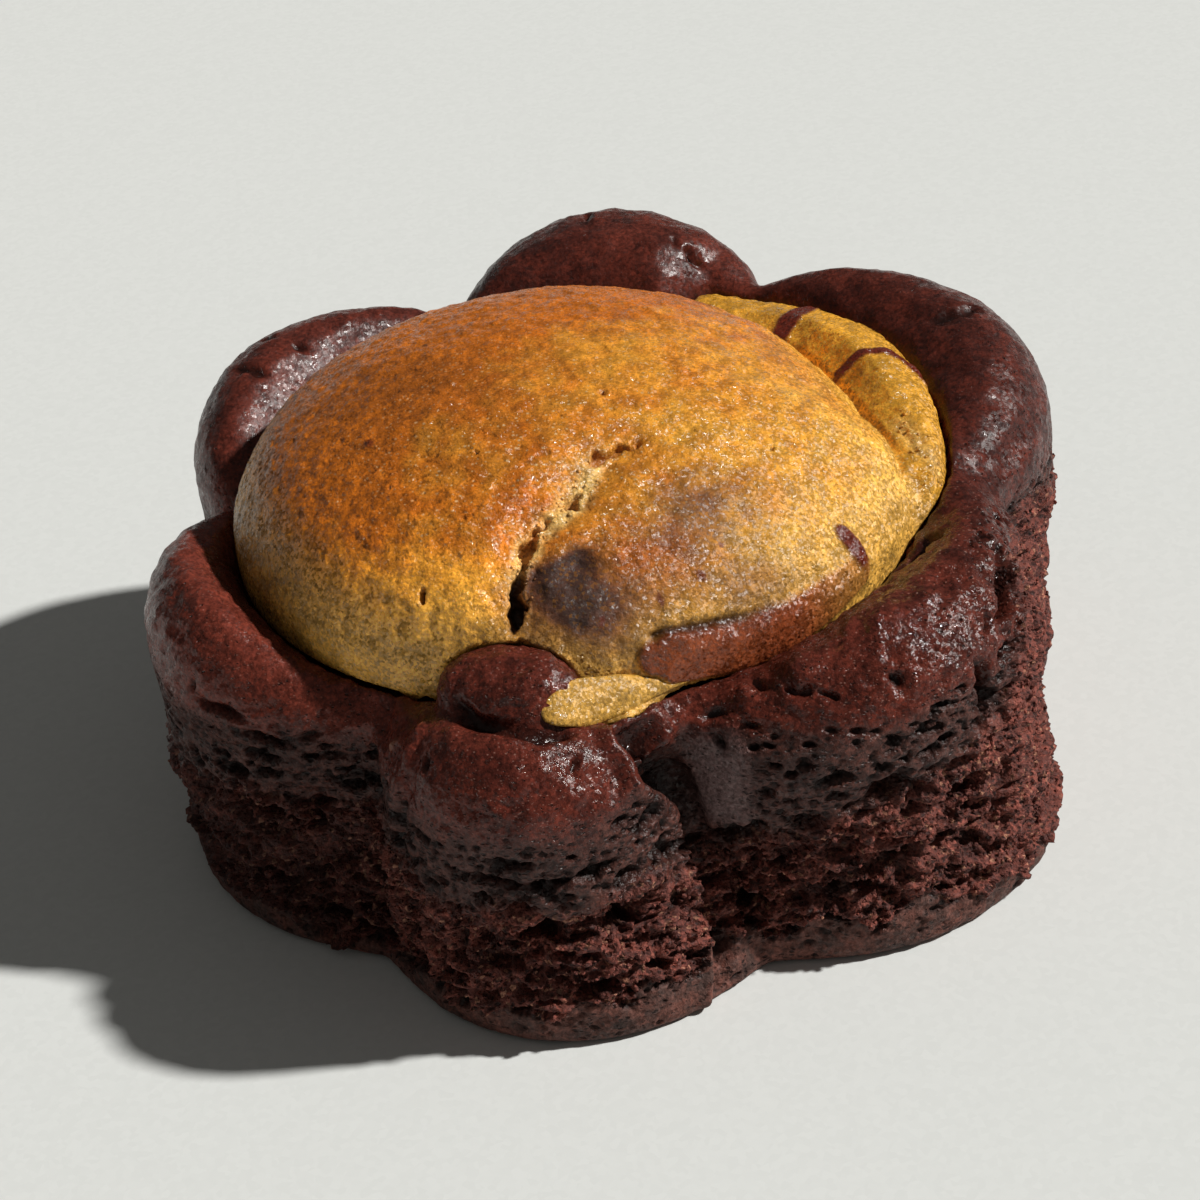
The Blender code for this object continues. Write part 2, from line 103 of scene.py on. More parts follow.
# Hollows that show one by one: angle, height, half width, half height, depth, slope.
HOLLOWS = (
    (252.0, 9.6, 1.0, 0.6, 1.2, 0.0), (257.0, 9.2, 1.7, 0.6, 1.6, -0.1), (262.0, 9.8, 0.8, 0.5, 1.1, 0.1),
    (266.0, 9.4, 1.2, 0.9, 1.9, 0.0), (247.0, 7.6, 0.5, 1.3, 1.2, 0.0), (262.0, 4.6, 1.2, 0.5, 1.0, 0.0),
    (269.0, 5.2, 0.6, 0.5, 1.1, 0.0), (273.0, 8.5, 0.5, 0.7, 1.0, 0.0), (252.5, 14.4, 1.6, 0.35, 0.7, -0.1),
    (258.5, 14.0, 1.5, 0.3, 0.7, 0.05), (263.5, 14.4, 1.2, 0.3, 0.6, 0.1), (267.2, 17.1, 0.45, 0.33, 0.6, 0.0),
    (255.0, 11.8, 1.2, 0.3, 0.7, 0.0), (299.4, 14.2, 1.0, 0.8, 1.4, 0.0), (303.0, 13.6, 0.8, 0.6, 1.1, 0.0),
    (314.8, 8.0, 1.1, 1.3, 2.0, 0.3), (311.0, 6.4, 1.2, 0.9, 1.9, 0.0), (317.5, 9.8, 1.0, 0.9, 1.4, 0.3),
    (302.4, 22.2, 0.30, 0.35, 0.5, 0.0), (294.0, 6.0, 2.4, 0.7, 1.2, 0.1), (299.0, 8.0, 2.4, 0.7, 1.4, 0.15),
    (302.2, 12.2, 0.8, 0.6, 1.2, 0.1), (283.0, 5.6, 0.9, 0.7, 1.3, 0.0), (278.6, 3.3, 0.6, 0.8, 1.0, 0.0),
    (323.6, 22.8, 2.3, 0.55, 2.2, 0.22), (312.8, 19.0, 0.55, 1.7, 1.9, 0.0), (317.5, 20.6, 0.7, 0.4, 1.0, 0.2),
    (309.0, 11.2, 1.5, 0.7, 1.3, 0.2), (281.3, 18.7, 0.28, 0.5, 0.7, 0.0), (285.6, 20.0, 0.35, 0.2, 0.5, 0.0),
    (290.1, 18.0, 0.4, 0.3, 0.7, 0.0), (293.8, 19.9, 0.4, 0.22, 0.5, 0.0), (296.7, 19.7, 0.5, 0.22, 0.6, 0.0),
    (298.0, 15.2, 0.4, 0.4, 0.8, 0.0), (304.5, 14.8, 0.4, 0.4, 0.8, 0.0), (281.5, 20.4, 0.8, 0.22, 0.35, 0.25),
    (316.5, 22.6, 0.6, 0.3, 0.6, 0.3), (213.6, 19.5, 1.6, 0.38, 1.0, -0.1), (219.2, 18.0, 1.5, 0.33, 0.9, -0.2),
    (217.5, 16.6, 1.5, 0.35, 0.8, -0.15), (224.0, 18.6, 0.9, 0.3, 0.6, 0.3), (212.5, 17.4, 1.2, 0.3, 0.7, -0.2),
    (226.5, 16.9, 1.2, 0.3, 0.7, -0.1), (219.0, 15.0, 1.5, 0.3, 0.6, 0.0), (229.0, 15.2, 1.0, 0.5, 0.6, 0.0),
    (209.5, 20.6, 0.3, 0.4, 0.6, 0.0), (244.6, 21.2, 0.25, 0.3, 0.5, 0.0), (262.5, 21.4, 0.35, 0.3, 0.5, 0.0),
    (22.0, 26.6, 0.9, 0.35, 0.5, 0.0), (142.0, 26.6, 0.4, 0.3, 0.4, 0.0), (150.0, 26.5, 0.5, 0.3, 0.4, 0.0),
)

# Low swellings of the rim's skin: middle in plan, half size, height.
LUMPS = (
    ((11.2, -25.2), 1.7, 0.80), ((7.3, -25.1), 1.2, 0.40),
    ((1.6, -26.4), 1.0, 0.40), ((16.2, -23.0), 2.2, 0.50),
)

# Short lines pressed into the rim: their points, half width and depth.
MARKS = (
    (((1.3, 31.4, 27.4), (1.2, 30.4, 28.2), (1.1, 29.4, 28.4)), 0.32, 0.7),
    (((1.1, 29.4, 28.4), (1.0, 27.4, 28.4)), 0.40, 0.22),
    (((7.4, 25.0, 27.9), (7.5, 24.6, 27.8)), 0.35, 0.45),
    (((8.6, 24.4, 27.2), (9.0, 24.1, 26.7), (9.2, 24.0, 26.2)), 0.36, 0.6),
    (((7.0, -24.7, 21.6), (8.3, -25.1, 21.8), (9.4, -25.8, 21.9)), 0.22, 0.35),
    (((10.4, -26.3, 22.0), (11.3, -26.9, 21.9)), 0.22, 0.45),
    (((12.0, -27.1, 21.9), (13.1, -27.3, 21.8)), 0.20, 0.50),
)

# The blob of batter at the dome's front edge, the crease under it, which is cut in and
# painted with shadow, and one pale flake on the rim.
BLOB_MIDDLE, BLOB_REACH = (-7.6, -25.6), 4.2
UNDER_BLOB = (
    (-11.5, -26.3, 23.9), (-10.5, -27.3, 23.2), (-8.6, -28.5, 22.9), (-6.3, -29.3, 22.8), (-4.6, -28.9, 22.5),
)
PALE_FLAKE = ((-15.9, -24.8, 21.0), (-15.8, -24.8, 19.6))

# Sides of the wall: the angle of each side's middle, and half its width.
FLANK = (280.6, 3.4)         # a smooth, glossy strip beside the deep fold, painted grey for its reflection of the lit table
CALM_SIDE = (355.0, 32.0)    # the right lobe's far side, less torn
SHADED_SIDE = (210.0, 26.0)  # the left lobe, away from the key light, whose torn crumb gets painted shade
STREWN_LESS = (208.0, 26.0)  # where fewer crumbs cling
FRONT_LOBE, RIGHT_LOBE = (261.0, 14.0), (326.0, 18.0)


def ease(low, high, value):
    """0 below low, 1 above high, and an even curve between them."""
    share = np.clip((value - low) / (high - low), 0.0, 1.0)
    return share * share * (3.0 - 2.0 * share)


def along(pairs, value):
    """A value that is given at a few places, carried evenly between them."""
    return np.interp(value, *zip(*pairs))


def turn(from_angle, to_angle):
    """The signed turn between two angles."""
    return (to_angle - from_angle + 180.0) % 360.0 - 180.0


def round_wall(pairs, angle):
    """A value that is given at a few angles, carried evenly all the way round."""
    return np.interp(angle % 360.0, *zip(*pairs), period=360.0)


def facing(side, angle, power=4):
    """1 at the middle of one side of the wall, falling to 0 past it."""
    middle, half = side
    return np.exp(-(turn(middle, angle) / half) ** power)


def noise_at(points, size, seed=0):
    """Soft noise between about -1 and 1; size is the lumps' length, or one for each direction."""
    return np.array([noise.noise(Vector(p)) for p in (points / np.array(size) + 7.3 * seed).tolist()])


def cells_at(points, size, seed=0):
    """For each point, the way to the middle of its cell in cell sizes, and a number drawn for the cell."""
    found = []
    for place in (points / np.array(size) + 3.7 * seed).tolist():
        distances, centres = noise.voronoi(Vector(place))
        x, y, z = centres[0]
        found.append((distances[0], math.sin(12.9898 * x + 78.233 * y + 37.719 * z) * 43758.5453 % 1.0))
    return np.array(found).T


def pores_at(points, size, seed, share, deepest, start):
    """The depth of one size of pores, few and small where the share is low, side by side where it is high."""
    middle, draw = cells_at(points + 0.12 * noise_at(points, 0.7, seed)[:, None], size, seed)
    reach = 0.8 * (0.4 + 0.6 * share) * (0.35 + 0.65 * draw)
    there = ease(0.0, 0.25, draw - 1.0 + 1.5 * (share - start) / (1.0 - start))
    return deepest * reach * there * ease(0.0, 0.5, 1.0 - middle / reach)


def from_line(points, line):
    """Each point's distance from a line, its side in plan, and how far along it is in steps."""
    best = np.full(len(points), 1e9)
    side, steps = np.zeros(len(points)), np.zeros(len(points))
    for count, (start, end) in enumerate(zip(line, line[1:])):
        start, run = np.array(start), np.array(end) - np.array(start)
        share = np.clip(((points - start) @ run) / (run @ run), 0.0, 1.0)
        away = points - start - share[:, None] * run
        distance = np.sqrt((away ** 2).sum(1))
        nearer = distance < best
        best = np.where(nearer, distance, best)
        side = np.where(nearer, np.sign(run[0] * away[:, 1] - run[1] * away[:, 0]), side)
        steps = np.where(nearer, count + share, steps)
    return best, side, steps


def near_line(points, line, half):
    """1 on a line, falling to 0 past its half width."""
    return np.exp(-(from_line(points, line)[0] / half) ** 2)


def placed(name, data):
    """A new object in the scene."""
    made = bpy.data.objects.new(name, data)
    bpy.context.scene.collection.objects.link(made)
    return made


def plain(piece):
    """Make what the piece's modifiers give its own plain mesh."""
    shaped = piece.evaluated_get(bpy.context.evaluated_depsgraph_get())
    piece.data = bpy.data.meshes.new_from_object(shaped)
    piece.modifiers.clear()
    return piece


def even_copy(node, name, spacing, easing):
    """A fine, closed, evenly spaced copy of a solid's surface, ready to be worked."""
    worked = bmesh.new()
    worked.from_mesh(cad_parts[node].data)
    bmesh.ops.remove_doubles(worked, verts=worked.verts[:], dist=0.001 * MM)
    mesh = bpy.data.meshes.new(name)
    worked.to_mesh(mesh)
    worked.free()
    piece = placed(name, mesh)
    rounded = piece.modifiers.new("rounded", "SUBSURF")
    rounded.levels = rounded.render_levels = 2
    evened = piece.modifiers.new("evened", "REMESH")
    evened.mode = "VOXEL"
    evened.voxel_size = spacing * MM
    eased = piece.modifiers.new("eased", "SMOOTH")
    eased.iterations = easing
    return plain(piece)


def points_of(piece):
    """The piece's points in millimetres about the flower's axis, and its normals."""
    count = len(piece.data.vertices)
    places, normals = np.empty(count * 3), np.empty(count * 3)
    piece.data.vertices.foreach_get("co", places)
    piece.data.vertices.foreach_get("normal", normals)
    return places.reshape(-1, 3) / MM - AXIS, normals.reshape(-1, 3)


def set_points(piece, places):
    """Put the piece's points at new places, in millimetres about the flower's axis."""
    piece.data.vertices.foreach_set("co", ((places + AXIS) * MM).ravel())
    piece.data.update()


def keep(piece, **numbers):
    """Store numbers for each point, which the material reads by name."""
    for name, values in numbers.items():
        kept = piece.data.attributes.new(name, "FLOAT", "POINT")
        kept.data.foreach_set("value", values.astype(np.float32))


def thin_out(piece, hidden):
    """Bring the faces down to the most allowed, first where the piece is hidden, then where it is flat."""
    group = piece.vertex_groups.new(name="hidden")
    for index in np.flatnonzero(hidden).tolist():
        group.add((index,), 1.0, "REPLACE")
    for where_first in ("hidden", ""):
        faces = sum(len(p.vertices) - 2 for p in piece.data.polygons)
        fewer = piece.modifiers.new("fewer", "DECIMATE")
        fewer.ratio = min(1.0, MOST_FACES / faces)
        fewer.use_collapse_triangulate = True
        fewer.vertex_group = where_first
        plain(piece)
    piece.vertex_groups.clear()


def finish_where(piece, name, number):
    """Give the faces whose stored number is above a half the finish of that number."""
    values = np.empty(len(piece.data.vertices), np.float32)
    piece.data.attributes[name].data.foreach_get("value", values)
    corners = np.empty(len(piece.data.polygons) * 3, np.int32)
    piece.data.polygons.foreach_get("vertices", corners)
    shares = values[corners.reshape(-1, 3)].mean(1)
    piece.data.polygons.foreach_set("material_index", np.where(shares > 0.5, number, 0).astype(np.int32))


brownie = even_copy("brownie", "brownie_body", BROWNIE_SPACING, BROWNIE_EASING)
places, normals = points_of(brownie)
angle = np.degrees(np.arctan2(places[:, 1], places[:, 0])) % 360.0
radius = np.hypot(places[:, 0], places[:, 1])
height = places[:, 2].copy()
ragged = noise_at(places, 3.2, 1) + 0.5 * noise_at(places, 1.3, 2)
patchy = noise_at(places, 5.5, 24)

facing_out = (places[:, 0] * normals[:, 0] + places[:, 1] * normals[:, 1]) / radius
outside = ease(-0.1, 0.3, facing_out) * ease(22.5, 24.5, radius)
rim_foot = round_wall(RIM_FEET, angle) + 0.8 * ragged
rim = ease(rim_foot - 1.0, rim_foot + 1.0, height)
tear_top = round_wall(TEAR_TOPS, angle) + 1.4 * ragged
foot_top = round_wall(FOOT_TOPS, angle) - 0.2 + 1.5 * ragged
foot = 1.0 - ease(foot_top - 0.5, foot_top + 0.3, height)
flank = facing(FLANK, angle) * ease(11.0, 13.5, height) * (1.0 - rim)

openness = along(OPENNESS, height - tear_top) + 0.14 * patchy
openness = openness * (1.0 - 0.75 * rim * ease(0.0, 3.0, height - tear_top)) * (1.0 - 0.85 * flank)
openness = np.clip(openness * (1.0 - foot) + 0.30 * foot, 0.0, 1.0) * outside
bare = ease(0.70, 0.92, openness)

wide, middling, small = (pores_at(places, size, 6 + count, openness, deepest, start)
                         for count, (size, deepest, start) in enumerate(PORES))
granules, granule_draw = cells_at(places, (0.85, 0.85, 0.65), 9)
lumps = noise_at(places, (2.4, 2.4, 1.4), 3)
fine_lumps = noise_at(places, (0.9, 0.9, 0.7), 4)
crevices = np.clip(1.0 - 5.0 * np.abs(noise_at(places, (3.6, 3.6, 0.9), 5)), 0.0, 1.0) * bare

depth = np.maximum(wide, middling) + 0.5 * np.minimum(wide, middling) + 0.7 * small + 0.6 * crevices
lift = (depth * bare).sum() / bare.sum() - 0.2
relief = lift * bare - depth
relief += bare * (0.25 * lumps + 0.30 * (1.0 - granules ** 2) * (0.4 + 0.6 * granule_draw))
relief *= 1.0 - 0.45 * facing(CALM_SIDE, angle)
lively = round_wall(LIVELY, angle)
for middle, half, swelling in LUMPS:
    relief += rim * swelling * np.exp(-((places[:, :2] - middle) ** 2).sum(1) / half ** 2)
blob = ease(23.3, 24.3, height) * np.exp(-(np.hypot(*(places[:, :2] - BLOB_MIDDLE).T) / BLOB_REACH) ** 4)
pebbles = rim * (0.12 * lumps + (0.07 + 0.14 * lively) * fine_lumps)
relief += pebbles + 0.40 * blob * noise_at(places, 1.9, 26)
relief += (0.03 + 0.07 * foot) * fine_lumps * (1.0 - bare)
relief += foot * (1.0 - bare) * (0.12 * lumps + 0.12 * (1.0 - granules ** 2) * granule_draw)

# Each fold's deep trench is also painted with shade.
trench = np.zeros(len(places))
for fold, lip, depths, width in FOLDS:
    past = np.radians(turn(along(fold, height), angle)) * radius + 0.25 * ragged
    bottom, top = fold[0][0], fold[-1][0]
    near_fold = ease(bottom - 1.0, bottom, height) * (1.0 - ease(top + 0.3, top + 1.5, height)) * outside
    relief += near_fold * lip * np.exp(-((past + 0.35) / 0.45) ** 2)
    cut = ease(-0.05, 0.35, past) * (1.0 - ease(0.4 * width, width, past)) * outside
    relief -= along(depths, height) * cut
    trench = np.maximum(trench, cut * ease(0.9, 1.8, along(depths, height)))

# The hollows, and the marks as deep as they are, are painted with shade as well as cut in.
hollow = np.zeros(len(places))
beyond_seat = ease(22.0, 24.5, radius)
for hollow_angle, hollow_height, half_width, half_height, hollow_depth, slope in HOLLOWS:
    across = np.radians(turn(hollow_angle, angle)) * radius
    up = (height - hollow_height - slope * across) / half_height
    away = np.hypot(across / half_width, up) + 0.35 * ragged + 0.45 * fine_lumps
    shape = np.exp(-np.maximum(away, 0.0) ** 3) * beyond_seat
    relief -= hollow_depth * shape
    hollow = np.maximum(hollow, shape)
for line, half, mark_depth in MARKS:
    away = from_line(places + 0.35 * ragged[:, None], line)[0] + 0.3 * fine_lumps
    shape = np.exp(-(np.maximum(away, 0.0) / half) ** 2)
    relief -= mark_depth * shape
    hollow = np.maximum(hollow, min(1.0, 1.2 * mark_depth) * shape)
under_blob = near_line(places, UNDER_BLOB, 0.55)
relief -= 0.8 * under_blob
pale_flake = near_line(places, PALE_FLAKE, 0.22)
relief += 0.35 * pale_flake

places += normals * (relief * ease(0.05, 0.9, height))[:, None]
places[:, 2] += 0.22 * bare * noise_at(places, 1.4, 23) * ease(0.5, 2.0, height)
places[:, 2] = np.maximum(places[:, 2], 0.0)
set_points(brownie, places)

below = depth - lift * bare
# Painted shade over the left lobe's torn crumb, stronger lower down.
in_shade = (0.72 - 0.3 * ease(10.0, 14.0, height)) * facing(SHADED_SIDE, angle) * bare
# Painted shade: the crumb's pores are darkened, less so on the front and right lobes.
open_to_light = 1.0 - 0.6 * facing(FRONT_LOBE, angle, 2) - 0.5 * facing(RIGHT_LOBE, angle)
skin_pores = ease(0.06, 0.25, depth) * (1.0 - bare)
crumb_pores = 0.80 * ease(0.10, 0.85, below) * bare * open_to_light
# All the painted shade on the brownie: in pores, hollows, marks, trenches, under the blob and over the left
# lobe.
pit = np.maximum.reduce((skin_pores, crumb_pores, hollow, trench, under_blob, in_shade))
crumbs = bare * (1.0 - 0.6 * pit) * ease(2.0, 3.0, height) * (1.0 - 0.7 * facing(CALM_SIDE, angle))
keep(brownie, rim=rim * (1.0 - bare), warmth=round_wall(WARMTH, angle), lively=lively,
     sheen=np.maximum(rim, flank) * (1.0 - bare), flank=flank, torn=bare, foot=foot * (1.0 - 0.7 * bare),
     pit=pit, pale=pale_flake, pin=outside * np.clip(0.25 + 0.8 * openness, 0.0, 0.8),
     crumbs=crumbs * (1.0 - 0.5 * facing(STREWN_LESS, angle)))
under_cookie = (normals[:, 2] > 0.1) & (height < BROWNIE_HIDDEN[0]) & (radius < BROWNIE_HIDDEN[1])
thin_out(brownie, (height < 0.02) | under_cookie)
finish_where(brownie, "sheen", 1)
brownie.data.shade_smooth()


def put(tree, kind, inputs=None, **settings):
    """Add a node with its settings, and its inputs as values or as other nodes' sockets."""
    made = tree.nodes.new(kind)
    for name, value in settings.items():
        setattr(made, name, value)
    for name, value in (inputs or {}).items():
        if isinstance(value, bpy.types.NodeSocket):
            tree.links.new(value, made.inputs[name])
        else:
            made.inputs[name].default_value = value
    return made


def sums(tree, operation, first, second=0.0):
    """The result of one sum."""
    return put(tree, "ShaderNodeMath", {0: first, 1: second}, operation=operation).outputs[0]


def weighed(tree, *shares):
    """The sum of some values, each times its own weight."""
    total = None
    for value, weight in shares:
        part = sums(tree, "MULTIPLY", value, weight)
        total = part if total is None else sums(tree, "ADD", total, part)
    return total


def vectors(tree, operation, first, second):
    """The result of one sum of two vectors."""
    return put(tree, "ShaderNodeVectorMath", {0: first, 1: second}, operation=operation).outputs[0]


def scaled(tree, value, scale):
    """A vector or a colour times a number."""
    return put(tree, "ShaderNodeVectorMath", {0: value, "Scale": scale}, operation="SCALE").outputs[0]


def ramp(tree, value, low, high, start=0.0, end=1.0):
    """A value carried from one range to another, held at its ends."""
    inputs = {"Value": value, "From Min": low, "From Max": high, "To Min": start, "To Max": end}
    return put(tree, "ShaderNodeMapRange", inputs).outputs["Result"]


def between(tree, share, start, end):
    """A number this share of the way from the first to the second."""
    return ramp(tree, share, 0.0, 1.0, start, end)


def tint(tree, share, first, second):
    """A colour this share of the way from the first to the second."""
    return put(tree, "ShaderNodeMix", {0: share, 6: first, 7: second}, data_type="RGBA").outputs[2]


def stored(tree, name):
    """A number that is kept on the piece's points."""
    return put(tree, "ShaderNodeAttribute", attribute_name=name).outputs["Fac"]


def group_of(name, sizes, outputs):
    """An empty node group that reads a place and some sizes in millimetres, and gives numbers."""
    made = bpy.data.node_groups.new(name, "ShaderNodeTree")
    made.interface.new_socket("Vector", in_out="INPUT", socket_type="NodeSocketVector")
    for socket, value in sizes.items():
        made.interface.new_socket(socket, in_out="INPUT", socket_type="NodeSocketFloat").default_value = value
    for socket in outputs:
        made.interface.new_socket(socket, in_out="OUTPUT", socket_type="NodeSocketFloat")
    return made, made.nodes.new("NodeGroupInput").outputs, made.nodes.new("NodeGroupOutput").inputs


# Baked grain: a crust's fine unevenness, its grains' tilted faces, a number for each grain,
# and soft patches.
grain, given, result = group_of("baked_grain", {"Size": 0.3, "Patch": 4.0},
                                ("Height", "Facets", "Speckle", "Patches"))
in_mm = scaled(grain, given["Vector"], 1.0 / MM)
per_mm = sums(grain, "DIVIDE", 1.0, given["Size"])
per_patch = sums(grain, "DIVIDE", 1.0, given["Patch"])
bumps = put(grain, "ShaderNodeTexNoise", {"Vector": in_mm, "Scale": per_mm, "Detail": 3.0, "Roughness": 0.65})
grains = put(grain, "ShaderNodeTexVoronoi", {"Vector": in_mm, "Scale": per_mm})
drawn = put(grain, "ShaderNodeSeparateColor", {0: grains.outputs["Color"]})
tilt = vectors(grain, "SUBTRACT", grains.outputs["Color"], (0.5, 0.5, 0.5))
offset = vectors(grain, "SUBTRACT", in_mm, grains.outputs["Position"])
lean = put(grain, "ShaderNodeVectorMath", {0: tilt, 1: offset}, operation="DOT_PRODUCT").outputs["Value"]
wide_noise = put(grain, "ShaderNodeTexNoise", {"Vector": in_mm, "Scale": per_patch, "Detail": 3.0})
grain.links.new(bumps.outputs[0], result["Height"])
grain.links.new(sums(grain, "MULTIPLY", lean, per_mm), result["Facets"])
grain.links.new(drawn.outputs[0], result["Speckle"])
grain.links.new(ramp(grain, wide_noise.outputs[0], 0.35, 0.65), result["Patches"])

# Pin pores: spots too fine for the mesh, longer than they are high, more and larger where
# the surface is more open, from 0 to 1.  They make pores, and the pale flecks of painted glints.
pinned, given, result = group_of("pin_pores_and_glints", {"Size": 0.4, "Openness": 0.3}, ("Pore_and_glint",))
in_mm = vectors(pinned, "MULTIPLY", given["Vector"], (1.0 / MM, 1.0 / MM, 2.0 / MM))
per_mm = sums(pinned, "DIVIDE", 1.0, given["Size"])
holes = put(pinned, "ShaderNodeTexVoronoi", {"Vector": in_mm, "Scale": per_mm})
drawn = put(pinned, "ShaderNodeSeparateColor", {0: holes.outputs["Color"]})
reach = sums(pinned, "MULTIPLY", given["Openness"], ramp(pinned, drawn.outputs[1], 0.2, 1.0))
half_reach = sums(pinned, "MULTIPLY", reach, 0.5)
pinned.links.new(ramp(pinned, holes.outputs["Distance"], reach, half_reach), result["Pore_and_glint"])


def material(name):
    """A new material, with its tree, its shader and its object coordinates."""
    made = bpy.data.materials.new(name)
    made.use_nodes = True
    tree = made.node_tree
    return made, tree, tree.nodes["Principled BSDF"], put(tree, "ShaderNodeTexCoord").outputs["Object"]


def used(tree, group, where, **inputs):
    """What one use of a group gives."""
    return put(tree, "ShaderNodeGroup", {"Vector": where, **inputs}, node_tree=group).outputs


def finish_with(tree, shader, colour, roughness, rise, specular):
    """Join a finish's colour, roughness and fine relief, in millimetres, to its shader."""
    tree.links.new(colour, shader.inputs["Base Color"])
    tree.links.new(roughness, shader.inputs["Roughness"])
    shader.inputs["Specular IOR Level"].default_value = specular
    bump = put(tree, "ShaderNodeBump", {"Height": rise, "Strength": 1.0, "Distance": MM})
    tree.links.new(bump.outputs["Normal"], shader.inputs["Normal"])


RIM_DARK, RIM_WARM = (0.040, 0.0082, 0.0056, 1.0), (0.200, 0.0400, 0.0240, 1.0)
SKIN_DARK, SKIN_GREY = (0.036, 0.0110, 0.0080, 1.0), (0.105, 0.0370, 0.0270, 1.0)
CRUMB_DARK, CRUMB_WARM = (0.065, 0.0200, 0.0165, 1.0), (0.300, 0.0830, 0.0580, 1.0)
CRUMB_LIGHT, FLANK_PAINTED_REFLECTION = (0.420, 0.190, 0.120, 1.0), (0.160, 0.100, 0.095, 1.0)
FOOT_BROWN, FOOT_WARM = (0.055, 0.0330, 0.0280, 1.0), (0.160, 0.0560, 0.0400, 1.0)
# The black of painted shade in pores and pits, and the pale of the rim's painted glints.
PAINTED_SHADE_BLACK, RIM_PAINTED_GLINT = (0.007, 0.0020, 0.0012, 1.0), (0.62, 0.34, 0.27, 1.0)
WALL_ROUGH, CRUMB_ROUGH = 0.36, 0.60
CALM_RIM_ROUGH, LIVELY_RIM_ROUGH = 0.27, 0.12
WALL_GLOSS, RIM_GLOSS = 0.26, 0.75    # specular levels


def chocolate_finish(name, specular):
    """Baked chocolate: skin, rim, torn crumb and foot, by the numbers that are kept on the piece."""
    made, tree, shader, where = material(name)
    fine = used(tree, grain, where, Size=0.28, Patch=2.2)
    coarse = used(tree, grain, where, Size=0.45, Patch=6.0)
    rim_share, torn, foot, pit, lively = (stored(tree, n) for n in ("rim", "torn", "foot", "pit", "lively"))
    pores = used(tree, pinned, where, Size=0.5, Openness=stored(tree, "pin"))["Pore_and_glint"]
    mottled = weighed(tree, (coarse["Speckle"], 0.5), (fine["Patches"], 0.5))

    colour = tint(tree, mottled, SKIN_DARK, SKIN_GREY)
    warm = sums(tree, "ADD", stored(tree, "warmth"), between(tree, mottled, -0.3, 0.3))
    colour = tint(tree, rim_share, colour, tint(tree, warm, RIM_DARK, RIM_WARM))
    # Painted reflection: the flank is lightened to grey, as if it mirrored the lit table.
    colour = tint(tree, stored(tree, "flank"), colour, FLANK_PAINTED_REFLECTION)
    grainy = sums(tree, "MULTIPLY", mottled, between(tree, fine["Speckle"], 0.5, 1.4))
    crumb = tint(tree, grainy, CRUMB_DARK, CRUMB_WARM)
    crumb = tint(tree, ramp(tree, fine["Speckle"], 0.93, 0.97), crumb, CRUMB_LIGHT)
    colour = tint(tree, torn, colour, crumb)
    colour = tint(tree, foot, colour, tint(tree, mottled, FOOT_BROWN, FOOT_WARM))
    colour = tint(tree, stored(tree, "pale"), colour, CRUMB_LIGHT)
    colour = scaled(tree, colour, ramp(tree, fine["Height"], 0.35, 0.65, 0.55, 1.45))
    # Painted glints: pale flecks on the rim, most where it is lively.
    painted_glints = used(tree, pinned, where, Size=0.30, Openness=0.36)["Pore_and_glint"]
    on_rim = sums(tree, "MULTIPLY", sums(tree, "MULTIPLY", lively, 0.35), rim_share)
    colour = tint(tree, sums(tree, "MULTIPLY", painted_glints, on_rim), colour, RIM_PAINTED_GLINT)
    # Painted shade in the kept pits and in the fine pores.
    painted_shade_share = sums(tree, "MAXIMUM", sums(tree, "MULTIPLY", pit, 0.9), sums(tree, "MULTIPLY", pores, 0.75))
    colour = tint(tree, painted_shade_share, colour, PAINTED_SHADE_BLACK)

    rough = between(tree, rim_share, WALL_ROUGH, between(tree, lively, CALM_RIM_ROUGH, LIVELY_RIM_ROUGH))
    crumb_rough = between(tree, sums(tree, "MAXIMUM", torn, foot), 0.0, CRUMB_ROUGH)
    rough = sums(tree, "MAXIMUM", rough, crumb_rough)
    rough = sums(tree, "ADD", rough, ramp(tree, fine["Speckle"], 0.0, 0.6, -0.05, 0.16))

    coarse_height = between(tree, torn, 0.10, 0.28)
    rise = weighed(tree, (fine["Height"], 0.08), (fine["Facets"], 0.16), (coarse["Height"], coarse_height))
    on_rim = between(tree, lively, 0.30, 0.70)
    rise = sums(tree, "MULTIPLY", rise, between(tree, rim_share, 1.0, on_rim))
    rise = sums(tree, "SUBTRACT", rise, sums(tree, "MULTIPLY", pores, 0.10))
    finish_with(tree, shader, colour, rough, rise, specular)
    return made


wall_finish = chocolate_finish("brownie_wall_crumb", WALL_GLOSS)
rim_finish = chocolate_finish("brownie_rim_skin", RIM_GLOSS)

brownie.data.materials.clear()
brownie.data.materials.append(wall_finish)
brownie.data.materials.append(rim_finish)
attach(brownie, "root")
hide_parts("brownie")

# Loose crumbs: small angular grains of the same bake that cling to the torn wall.
# They were left standing where the crumb pulled apart, most of them half sunk in it.

CRUMBS_PER_SQUARE_MM = 2.6
CRUMB_LEAST, CRUMB_MOST = 0.08, 0.22  # half a crumb's length
CRUMB_UNEVENNESS = 0.10


